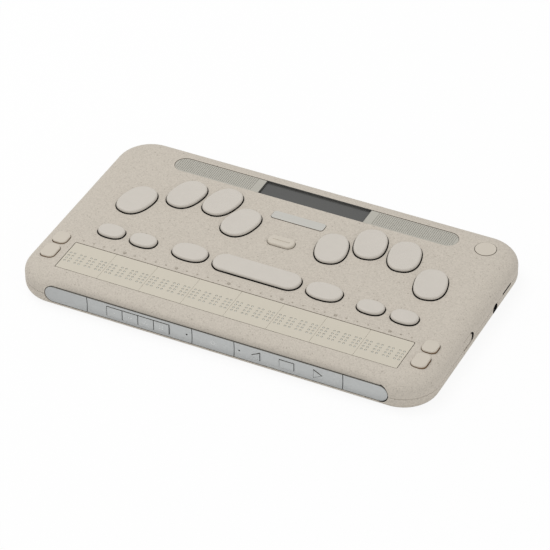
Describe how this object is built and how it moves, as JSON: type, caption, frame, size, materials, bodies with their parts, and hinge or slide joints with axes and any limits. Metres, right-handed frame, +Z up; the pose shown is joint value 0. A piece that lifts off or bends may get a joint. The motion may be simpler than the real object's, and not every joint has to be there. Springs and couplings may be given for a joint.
{
  "type": "braille notetaker",
  "caption": "Flat case with braille input keys, a refreshable braille line with liftable pins, scroll keys, a small display and a strip of front keys.",
  "frame": {"origin": "middle of the footprint, on the surface that the feet rest on", "axes": "+X along the braille line to the right, +Y from the user to the back, +Z up"},
  "size_m": [0.248, 0.146, 0.0208],
  "materials": {
    "case": "fine speckled matt",
    "key": "satin",
    "cream_key": "satin",
    "strip": "satin",
    "cap": "smooth satin",
    "pin": "smooth",
    "grille": "matt",
    "window": "clear",
    "plate": "brushed",
    "module": "matt",
    "cell": "matt",
    "board": "satin",
    "connector": "matt",
    "battery": "foil",
    "socket": "matt",
    "metal": "brushed",
    "foot": "matt"
  },
  "bodies": {
    "case": {"top_shell": "case", "bottom_shell": "case", "front_panel": "strip", "grille_plate": "grille", "display_window": "window", "display_module": "module", "name_plate": "plate", "cell_caps": "cap", "piezo_cells": "cell", "cell_board": "board", "key_board": "board", "key_switches": "module", "main_board": "board", "board_connectors": "connector", "battery": "battery", "speakers": "module", "headphone_jack": "socket", "usb_port": "metal", "card_slot": "metal", "front_board": "board", "microphones": "module", "feet": "foot", "case_screws": "metal", "board_screws": "metal"},
    "dot_key_1": {"dot_key_1": "key"},
    "dot_key_2": {"dot_key_2": "key"},
    "dot_key_3": {"dot_key_3": "key"},
    "dot_key_4": {"dot_key_4": "key"},
    "dot_key_5": {"dot_key_5": "key"},
    "dot_key_6": {"dot_key_6": "key"},
    "dot_key_7": {"dot_key_7": "key"},
    "dot_key_8": {"dot_key_8": "key"},
    "space_key": {"space_key": "key"},
    "ctrl_key": {"ctrl_key": "key"},
    "alt_key": {"alt_key": "key"},
    "f1_key": {"f1_key": "key"},
    "f2_key": {"f2_key": "key"},
    "f3_key": {"f3_key": "key"},
    "f4_key": {"f4_key": "key"},
    "home_key": {"home_key": "cream_key"},
    "scroll_up_left": {"scroll_up_left": "cream_key"},
    "scroll_down_left": {"scroll_down_left": "cream_key"},
    "scroll_up_right": {"scroll_up_right": "cream_key"},
    "scroll_down_right": {"scroll_down_right": "cream_key"},
    "power_key": {"power_key": "cream_key"},
    "left_end_key": {"left_end_key": "strip"},
    "right_end_key": {"right_end_key": "strip"},
    "record_key": {"record_key": "strip"},
    "app_key_1": {"app_key_1": "strip"},
    "app_key_2": {"app_key_2": "strip"},
    "app_key_3": {"app_key_3": "strip"},
    "app_key_4": {"app_key_4": "strip"},
    "media_previous_key": {"media_previous_key": "strip"},
    "media_play_key": {"media_play_key": "strip"},
    "media_next_key": {"media_next_key": "strip"},
    "pins_row_1": {"pins_row_1": "pin"},
    "pins_row_2": {"pins_row_2": "pin"},
    "pins_row_3": {"pins_row_3": "pin"},
    "pins_row_4": {"pins_row_4": "pin"},
    "port_cover": {"port_cover": "case"}
  },
  "joints": [
    {"name": "dot_key_1_press", "type": "slide", "parent": "case", "child": "dot_key_1", "axis": [0, 0, -1], "range_m": [0, 0.0012], "stiffness_N_per_m": 400, "springref_m": -0.0006},
    {"name": "dot_key_2_press", "type": "slide", "parent": "case", "child": "dot_key_2", "axis": [0, 0, -1], "range_m": [0, 0.0012], "stiffness_N_per_m": 400, "springref_m": -0.0006},
    {"name": "dot_key_3_press", "type": "slide", "parent": "case", "child": "dot_key_3", "axis": [0, 0, -1], "range_m": [0, 0.0012], "stiffness_N_per_m": 400, "springref_m": -0.0006},
    {"name": "dot_key_4_press", "type": "slide", "parent": "case", "child": "dot_key_4", "axis": [0, 0, -1], "range_m": [0, 0.0012], "stiffness_N_per_m": 400, "springref_m": -0.0006},
    {"name": "dot_key_5_press", "type": "slide", "parent": "case", "child": "dot_key_5", "axis": [0, 0, -1], "range_m": [0, 0.0012], "stiffness_N_per_m": 400, "springref_m": -0.0006},
    {"name": "dot_key_6_press", "type": "slide", "parent": "case", "child": "dot_key_6", "axis": [0, 0, -1], "range_m": [0, 0.0012], "stiffness_N_per_m": 400, "springref_m": -0.0006},
    {"name": "dot_key_7_press", "type": "slide", "parent": "case", "child": "dot_key_7", "axis": [0, 0, -1], "range_m": [0, 0.0012], "stiffness_N_per_m": 400, "springref_m": -0.0006},
    {"name": "dot_key_8_press", "type": "slide", "parent": "case", "child": "dot_key_8", "axis": [0, 0, -1], "range_m": [0, 0.0012], "stiffness_N_per_m": 400, "springref_m": -0.0006},
    {"name": "space_key_press", "type": "slide", "parent": "case", "child": "space_key", "axis": [0, 0, -1], "range_m": [0, 0.0012], "stiffness_N_per_m": 400, "springref_m": -0.0006},
    {"name": "ctrl_key_press", "type": "slide", "parent": "case", "child": "ctrl_key", "axis": [0, 0, -1], "range_m": [0, 0.0012], "stiffness_N_per_m": 400, "springref_m": -0.0006},
    {"name": "alt_key_press", "type": "slide", "parent": "case", "child": "alt_key", "axis": [0, 0, -1], "range_m": [0, 0.0012], "stiffness_N_per_m": 400, "springref_m": -0.0006},
    {"name": "f1_key_press", "type": "slide", "parent": "case", "child": "f1_key", "axis": [0, 0, -1], "range_m": [0, 0.0012], "stiffness_N_per_m": 400, "springref_m": -0.0006},
    {"name": "f2_key_press", "type": "slide", "parent": "case", "child": "f2_key", "axis": [0, 0, -1], "range_m": [0, 0.0012], "stiffness_N_per_m": 400, "springref_m": -0.0006},
    {"name": "f3_key_press", "type": "slide", "parent": "case", "child": "f3_key", "axis": [0, 0, -1], "range_m": [0, 0.0012], "stiffness_N_per_m": 400, "springref_m": -0.0006},
    {"name": "f4_key_press", "type": "slide", "parent": "case", "child": "f4_key", "axis": [0, 0, -1], "range_m": [0, 0.0012], "stiffness_N_per_m": 400, "springref_m": -0.0006},
    {"name": "home_key_press", "type": "slide", "parent": "case", "child": "home_key", "axis": [0, 0, -1], "range_m": [0, 0.0012], "stiffness_N_per_m": 400, "springref_m": -0.0006},
    {"name": "scroll_up_left_press", "type": "slide", "parent": "case", "child": "scroll_up_left", "axis": [0, 0, -1], "range_m": [0, 0.0012], "stiffness_N_per_m": 400, "springref_m": -0.0006},
    {"name": "scroll_down_left_press", "type": "slide", "parent": "case", "child": "scroll_down_left", "axis": [0, 0, -1], "range_m": [0, 0.0012], "stiffness_N_per_m": 400, "springref_m": -0.0006},
    {"name": "scroll_up_right_press", "type": "slide", "parent": "case", "child": "scroll_up_right", "axis": [0, 0, -1], "range_m": [0, 0.0012], "stiffness_N_per_m": 400, "springref_m": -0.0006},
    {"name": "scroll_down_right_press", "type": "slide", "parent": "case", "child": "scroll_down_right", "axis": [0, 0, -1], "range_m": [0, 0.0012], "stiffness_N_per_m": 400, "springref_m": -0.0006},
    {"name": "power_key_press", "type": "slide", "parent": "case", "child": "power_key", "axis": [0, 0, -1], "range_m": [0, 0.0012], "stiffness_N_per_m": 400, "springref_m": -0.0006},
    {"name": "left_end_key_press", "type": "slide", "parent": "case", "child": "left_end_key", "axis": [0, 1, 0], "range_m": [0, 0.0005], "stiffness_N_per_m": 800, "springref_m": -0.0005},
    {"name": "right_end_key_press", "type": "slide", "parent": "case", "child": "right_end_key", "axis": [0, 1, 0], "range_m": [0, 0.0005], "stiffness_N_per_m": 800, "springref_m": -0.0005},
    {"name": "record_key_press", "type": "slide", "parent": "case", "child": "record_key", "axis": [0, 1, 0], "range_m": [0, 0.0005], "stiffness_N_per_m": 800, "springref_m": -0.0005},
    {"name": "app_key_1_press", "type": "slide", "parent": "case", "child": "app_key_1", "axis": [0, 1, 0], "range_m": [0, 0.0005], "stiffness_N_per_m": 800, "springref_m": -0.0005},
    {"name": "app_key_2_press", "type": "slide", "parent": "case", "child": "app_key_2", "axis": [0, 1, 0], "range_m": [0, 0.0005], "stiffness_N_per_m": 800, "springref_m": -0.0005},
    {"name": "app_key_3_press", "type": "slide", "parent": "case", "child": "app_key_3", "axis": [0, 1, 0], "range_m": [0, 0.0005], "stiffness_N_per_m": 800, "springref_m": -0.0005},
    {"name": "app_key_4_press", "type": "slide", "parent": "case", "child": "app_key_4", "axis": [0, 1, 0], "range_m": [0, 0.0005], "stiffness_N_per_m": 800, "springref_m": -0.0005},
    {"name": "media_previous_key_press", "type": "slide", "parent": "case", "child": "media_previous_key", "axis": [0, 1, 0], "range_m": [0, 0.0005], "stiffness_N_per_m": 800, "springref_m": -0.0005},
    {"name": "media_play_key_press", "type": "slide", "parent": "case", "child": "media_play_key", "axis": [0, 1, 0], "range_m": [0, 0.0005], "stiffness_N_per_m": 800, "springref_m": -0.0005},
    {"name": "media_next_key_press", "type": "slide", "parent": "case", "child": "media_next_key", "axis": [0, 1, 0], "range_m": [0, 0.0005], "stiffness_N_per_m": 800, "springref_m": -0.0005},
    {"name": "pins_row_1_lift", "type": "slide", "parent": "case", "child": "pins_row_1", "axis": [0, 0, 1], "range_m": [0, 0.0007]},
    {"name": "pins_row_2_lift", "type": "slide", "parent": "case", "child": "pins_row_2", "axis": [0, 0, 1], "range_m": [0, 0.0007]},
    {"name": "pins_row_3_lift", "type": "slide", "parent": "case", "child": "pins_row_3", "axis": [0, 0, 1], "range_m": [0, 0.0007]},
    {"name": "pins_row_4_lift", "type": "slide", "parent": "case", "child": "pins_row_4", "axis": [0, 0, 1], "range_m": [0, 0.0007]},
    {"name": "port_cover_pull", "type": "slide", "parent": "case", "child": "port_cover", "axis": [1, 0, 0], "range_m": [0, 0.004]}
  ]
}
